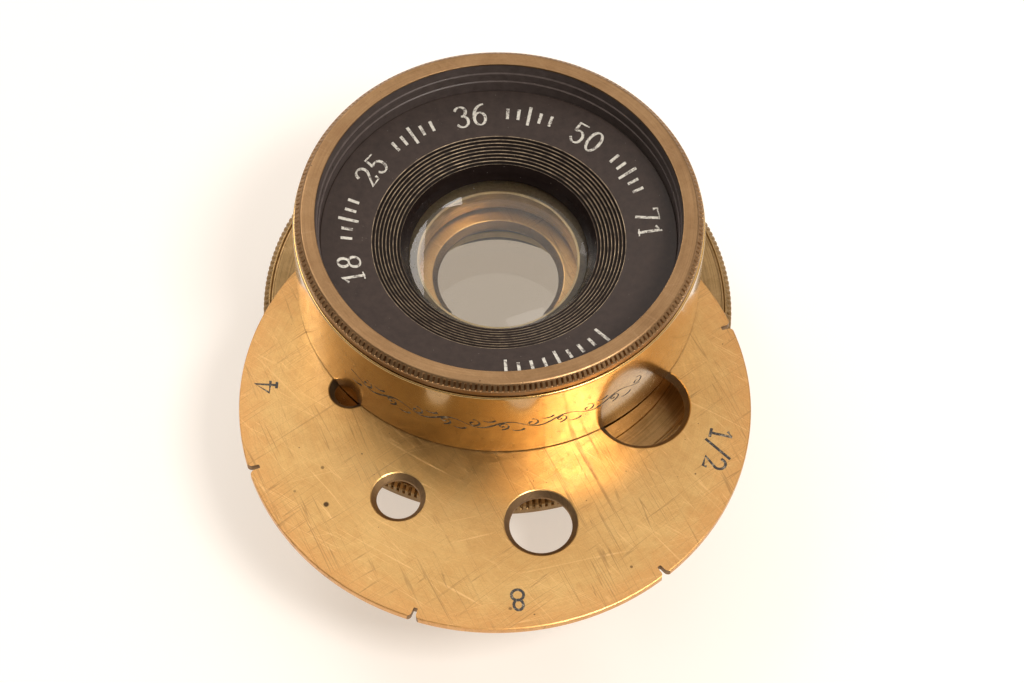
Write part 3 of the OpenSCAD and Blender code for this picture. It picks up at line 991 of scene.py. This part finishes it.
def black_lacquer(name, worn_radii=None, base=(0.026, 0.019, 0.017), rough=0.42):
    """Warm black lacquer with dust, fine rings and, on the grooves, brass showing through."""
    mat = Recipe(name)
    rings = mat.lathe_lines(0.0, 18.0)
    mottle = mat.noise(mat.here(), 1.6, 5.0, 0.6)
    dust = mat.pits(4.0, 0.12, 0.1)
    colour = mat.mix(mat.span(mottle, 0.3, 0.7), base, tuple(c * 1.5 for c in base))
    colour = mat.mix(mat.times(mat.span(rings, 0.6, 0.8), 0.25), colour, RING_GREY)
    if worn_radii is not None:
        colour = worn_grooves(mat, colour, *worn_radii)
    height = mat.plus(mat.times(rings, 0.6), mat.times(mottle, 0.4))
    mat.set(
        Base_Color=mat.mix(mat.times(dust, 0.5), colour, DUST_GREY),
        Roughness=mat.span(mottle, 0.3, 0.7, rough - 0.06, rough + 0.08),
        Specular_IOR_Level=0.2,
        Normal=mat.bump(height, 0.006 * MM),
    )
    return mat.material


def paint_fill(name, colour, worn, rough):
    """Paint rubbed into engraving, partly lost."""
    mat = Recipe(name)
    loss = mat.span(mat.noise(mat.here(), 3.2, 4.0, 0.7), 0.51, 0.62)
    tone = mat.noise(mat.here(), 7.0, 3.0, 0.6)
    shade = mat.span(tone, 0.25, 0.75, 0.75, 1.1)
    mat.set(
        Base_Color=mat.shaded(mat.mix(loss, colour, worn), shade),
        Roughness=mat.span(tone, 0.3, 0.7, rough - 0.1, rough + 0.1),
        Normal=mat.bump(tone, 0.01 * MM),
    )
    return mat.material


def steel(name, bright, dull, rough):
    """Turned and brushed steel."""
    mat = Recipe(name)
    grain = mat.noise(mat.vector("MULTIPLY", mat.here(), (1.0, 14.0, 14.0)), 1.0, 3.0)
    mottle = mat.noise(mat.here(), 2.0, 4.0, 0.6)
    mat.set(
        Base_Color=mat.mix(mat.span(mottle, 0.35, 0.65), bright, dull),
        Metallic=1.0,
        Roughness=mat.span(grain, 0.3, 0.7, rough - 0.06, rough + 0.08),
        Normal=mat.bump(grain, 0.003 * MM),
    )
    return mat.material


def glass(name, tint, index):
    """Polished optical glass with a few specks of dust and a slight bloom."""
    mat = Recipe(name)
    dust = mat.pits(1.5, 0.07, 0.12)
    bloom = mat.span(mat.noise(mat.here(), 0.5, 3.0, 0.5), 0.3, 0.8, 0.0, 0.012)
    mat.set(
        Base_Color=mat.mix(dust, tint, GLASS_DUST),
        Transmission_Weight=1.0,
        IOR=index,
        Roughness=mat.plus(bloom, mat.times(dust, 0.3)),
    )
    return mat.material


def dull_paint(name, colour):
    """Matt, uneven paint, for the ground edges of the glass."""
    mat = Recipe(name)
    mottle = mat.noise(mat.here(), 5.0, 4.0, 0.65)
    rings = mat.times(mat.lathe_lines(0.0, 20.0), 0.35)
    dark = tuple(c * 0.55 for c in colour)
    light = tuple(min(1.0, c * 1.8) for c in colour)
    mat.set(
        Base_Color=mat.mix(rings, mat.mix(mat.span(mottle, 0.35, 0.7), colour, dark), light),
        Roughness=mat.span(mottle, 0.3, 0.7, 0.6, 0.8),
        Normal=mat.bump(mottle, 0.01 * MM),
    )
    return mat.material


WHEEL_STAINS = ((-11.9, -19.6, 0.24, 0.95), (-12.3, -16.6, 0.16, 0.6), (-14.2, -18.6, 0.12, 0.5),
                (9.9, -24.1, 0.13, 0.7), (1.4, -27.6, 0.16, 0.6))
# Inner radius, outer radius and number of the worn grooves.
FACE_WEAR = (GROOVES_INNER[0], GROOVES_OUTER[0], GROOVE_COUNT)
MATERIALS = {
    "wheel_brass": brass("wheel_brass", (0.66, 0.41, 0.155), (0.54, 0.3, 0.1), 0.33, 0.12,
                         0.9, 0.8, PIVOT_Y, (17.2, 20.4, (0.62, 0.3, 0.1)), 0.15,
                         stains=WHEEL_STAINS),
    "barrel_brass": brass("barrel_brass", (0.62, 0.385, 0.12), (0.46, 0.26, 0.06), 0.17, 0.1,
                          0.25, 0.3, coat=1.0, bump=0.002, patch=0.4),
    "shoulder_brass": brass("shoulder_brass", (0.37, 0.235, 0.105), (0.24, 0.15, 0.06), 0.36,
                            0.6, 0.4, 1.0, bump=0.008),
    "rim_brass": brass("rim_brass", (0.36, 0.215, 0.105), (0.25, 0.14, 0.065), 0.34, 0.3,
                       0.3, 0.9),
    "ring_brass": brass("ring_brass", (0.68, 0.52, 0.26), (0.52, 0.39, 0.19), 0.5, 0.5,
                        0.0, 0.3),
    "bush_brass": brass("bush_brass", (0.62, 0.38, 0.13), (0.5, 0.28, 0.09), 0.3, 0.5, 0.0, 0.2),
    "face_black": black_lacquer("face_black", FACE_WEAR, (0.034, 0.023, 0.019), 0.45),
    "plate_black": black_lacquer("plate_black", rough=0.6),
    "screw_steel": steel("screw_steel", (0.34, 0.35, 0.38), (0.2, 0.2, 0.23), 0.28),
    "washer_steel": steel("washer_steel", (0.5, 0.5, 0.5), (0.34, 0.33, 0.32), 0.3),
    "spring_steel": steel("spring_steel", (0.12, 0.16, 0.26), (0.08, 0.1, 0.16), 0.25),
    "crown_glass": glass("crown_glass", (0.965, 0.955, 0.93), 1.52),
    "flint_glass": glass("flint_glass", (0.955, 0.935, 0.9), 1.58),
    # The rear glass is tinted much darker than the front: painted shade for the floor seen through
    # the lens beneath the body.
    "rear_crown_glass": glass("rear_crown_glass", (0.72, 0.68, 0.63), 1.52),
    "rear_flint_glass": glass("rear_flint_glass", (0.72, 0.68, 0.63), 1.58),
}
BORE_BLACK = black_lacquer("bore_black", None, (0.01, 0.006, 0.005), 0.2)
# Lighter black for the rim's inner wall: its colour is painted sheen.
WALL_SHEEN_BLACK = black_lacquer("wall_sheen_black", None, (0.08, 0.062, 0.056), 0.33)
# Darker, rougher brass for the walls and bevels of the wheel's holes and notches: painted shade
# inside the holes.
WHEEL_HOLE_SHADE = brass("hole_shade_brass", (0.34, 0.21, 0.1), (0.15, 0.09, 0.05), 0.45, 0.3, 0.0, 1.0)
CEMENT = glass("cement", (0.98, 0.97, 0.95), 1.001)
GLASS_EDGE = dull_paint("glass_edge", (0.15, 0.105, 0.05))
WHITE_FILL = paint_fill("white_fill", (0.66, 0.62, 0.54), (0.14, 0.115, 0.1), 0.6)
BLACK_FILL = paint_fill("black_fill", (0.03, 0.025, 0.022), (0.3, 0.24, 0.16), 0.45)


# ---------- pieces on their bodies


def stand_for(obj, node, body, slot, *materials):
    """A detailed piece that stands for one CAD node and rides on its body."""
    for material in materials:
        obj.data.materials.append(material)
    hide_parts(node)
    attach(obj, body)


def marks_on(obj, body, material):
    """Filled engraving that rides on a body."""
    obj.data.materials.append(material)
    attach(obj, body)


RIM = MATERIALS["rim_brass"]
BLACK = MATERIALS["face_black"]
stand_for(build_front_cell(), "front_cell", "front_cell", "rim_brass", RIM, WALL_SHEEN_BLACK)
stand_for(build_front_face(), "front_face", "front_cell", "face_black", BLACK, BORE_BLACK)
stand_for(build_barrel(), "barrel", "barrel", "barrel_brass", MATERIALS["barrel_brass"])
stand_for(build_shoulder_ring(), "shoulder_ring", "barrel", "shoulder_brass",
          MATERIALS["shoulder_brass"])
stand_for(build_stop_wheel(), "stop_wheel", "wheel", "wheel_brass", MATERIALS["wheel_brass"],
          WHEEL_HOLE_SHADE)
stand_for(build_rear_cell(), "rear_cell", "rear_cell", "rim_brass", RIM, BLACK)
stand_for(build_rear_face(), "rear_face", "rear_cell", "face_black", BLACK)
for side in ("front", "rear"):
    crown, flint = build_lenses(side)
    prefix = "" if side == "front" else "rear_"
    stand_for(crown, f"{side}_crown_lens", f"{side}_glass", "crown_glass",
              MATERIALS[prefix + "crown_glass"], GLASS_EDGE, CEMENT)
    stand_for(flint, f"{side}_flint_lens", f"{side}_glass", "flint_glass",
              MATERIALS[prefix + "flint_glass"], GLASS_EDGE, CEMENT)
marks_on(build_wheel_numbers(), "wheel", BLACK_FILL)
marks_on(build_face_numbers(), "front_cell", WHITE_FILL)
marks_on(build_barrel_scroll(), "barrel", BLACK_FILL)

SLOT_OF = {part["node"]: part["material_slot"] for part in frame["record"]["subparts"]}
for node_name, node_object in frame["nodes"].items():
    node_object.data.materials.clear()
    node_object.data.materials.append(MATERIALS[SLOT_OF[node_name]])


# ---------- floor, light and camera


def build_floor():
    """Pale translucent table top, lit a little from below."""
    size = 4.0
    z = REAR_RIM_Z * MM
    mesh = bpy.data.meshes.new("floor")
    mesh.from_pydata([(-size, -size, z), (size, -size, z), (size, size, z), (-size, size, z)],
                     [], [[0, 1, 2, 3]])
    floor = add_object("floor", mesh)
    mat = Recipe("floor_white")
    mat.set(
        Base_Color=(0.5, 0.485, 0.47),
        Roughness=0.7,
        Emission_Color=(1.0, 0.89, 0.77),
        Emission_Strength=0.56,
    )
    mesh.materials.append(mat.material)


LIGHT_DISTANCE = 0.7


def softbox(name, direction, width, height, radiance, long_side=(1, 0, 0)):
    """Area light that faces the lens. Its brightness is given as radiance."""
    light = bpy.data.lights.new(name, "AREA")
    light.shape = "RECTANGLE"
    light.size = width
    light.size_y = height
    light.energy = radiance * math.pi * width * height
    light.color = (1, 0.96, 0.91)
    obj = add_object(name, light)
    back = Vector(direction).normalized()
    along = Vector(long_side)
    along = (along - back * along.dot(back)).normalized()
    axes = Matrix((along, back.cross(along), back)).transposed().to_4x4()
    obj.matrix_world = Matrix.Translation(back * LIGHT_DISTANCE) @ axes


def lobe(tree, direction, inner, outer):
    """1 towards a direction of the sky, falling to 0 at the outer angle in degrees."""
    place = tree.nodes.new("ShaderNodeTexCoord").outputs["Generated"]
    dot = tree.nodes.new("ShaderNodeVectorMath")
    dot.operation = "DOT_PRODUCT"
    tree.links.new(place, dot.inputs[0])
    dot.inputs[1].default_value = Vector(direction).normalized()
    ramp = tree.nodes.new("ShaderNodeMapRange")
    ramp.interpolation_type = "SMOOTHSTEP"
    tree.links.new(dot.outputs["Value"], ramp.inputs["Value"])
    ramp.inputs["From Min"].default_value = math.cos(math.radians(outer))
    ramp.inputs["From Max"].default_value = math.cos(math.radians(inner))
    return ramp.outputs["Result"]


SKY_BASE = 0.22
# Strength, direction, and the angles in degrees where a lobe starts and ends its fall.
SKY_LOBES = (
    (0.8, (0.0, 0.5, 0.87), 16, 55),
    (0.06, (-0.85, 0.1, 0.45), 10, 50),
    (0.32, (0.8, 0.1, 0.6), 10, 50),
    (-0.17, (-0.1, -0.6, 0.8), 20, 45),
)


def build_sky():
    """Light tent: bright above and behind, dark round the camera."""
    world = bpy.data.worlds.new("tent")
    world.use_nodes = True
    tree = world.node_tree
    background = tree.nodes["Background"]
    background.inputs["Color"].default_value = (1.0, 0.95, 0.9, 1)
    total = None
    for strength, direction, inner, outer in SKY_LOBES:
        made = tree.nodes.new("ShaderNodeMath")
        made.operation = "MULTIPLY_ADD"
        made.inputs[1].default_value = strength
        tree.links.new(lobe(tree, direction, inner, outer), made.inputs[0])
        if total is None:
            made.inputs[2].default_value = SKY_BASE
        else:
            tree.links.new(total, made.inputs[2])
        total = made.outputs[0]
    tree.links.new(total, background.inputs["Strength"])
    bpy.context.scene.world = world


def build_light():
    softbox("key_box", (0.39, -0.36, 0.84), 0.2, 0.17, 32.0)
    softbox("left_box", (-0.476, 0.496, 0.727), 0.42, 0.19, 4.6, (-0.18, -0.77, 0.61))
    softbox("window", (-0.225, 0.795, 0.565), 0.09, 0.07, 6.0)
    softbox("right_box", (0.45, 0.6, 0.66), 0.12, 0.13, 1.9)
    softbox("top_box", (0.16, 0.13, 0.98), 0.15, 0.08, 1.6, (0.9, 0.4, 0.0))
    build_sky()


def build_camera():
    """Camera in front of the wheel, looking down at the lens."""
    elevation = math.radians(57.164)
    distance = 238.87
    side_shift = 0.71
    turn_right = math.radians(0.102)
    turn_up = math.radians(-1.145)
    roll = math.radians(1.242)
    back = Vector((0, -math.cos(elevation), math.sin(elevation)))
    right = Vector((1, 0, 0))
    up = right.cross(-back)
    look = -back * math.cos(turn_up) + up * math.sin(turn_up)
    up = right.cross(look)
    look = look * math.cos(turn_right) + right * math.sin(turn_right)
    right = look.cross(up)
    rolled_right = right * math.cos(roll) + up * math.sin(roll)
    rolled_up = up * math.cos(roll) - right * math.sin(roll)
    place = Vector((side_shift, 0, WHEEL_TOP)) + back * distance
    camera = bpy.data.cameras.new("camera")
    camera.lens = 112.5
    camera.sensor_width = 36
    camera.clip_start = 0.01
    obj = add_object("camera", camera)
    axes = Matrix((rolled_right, rolled_up, -look)).transposed().to_4x4()
    obj.matrix_world = Matrix.Translation(place * MM) @ axes
    bpy.context.scene.camera = obj


build_floor()
build_light()
build_camera()
bpy.context.scene.view_settings.view_transform = "Standard"
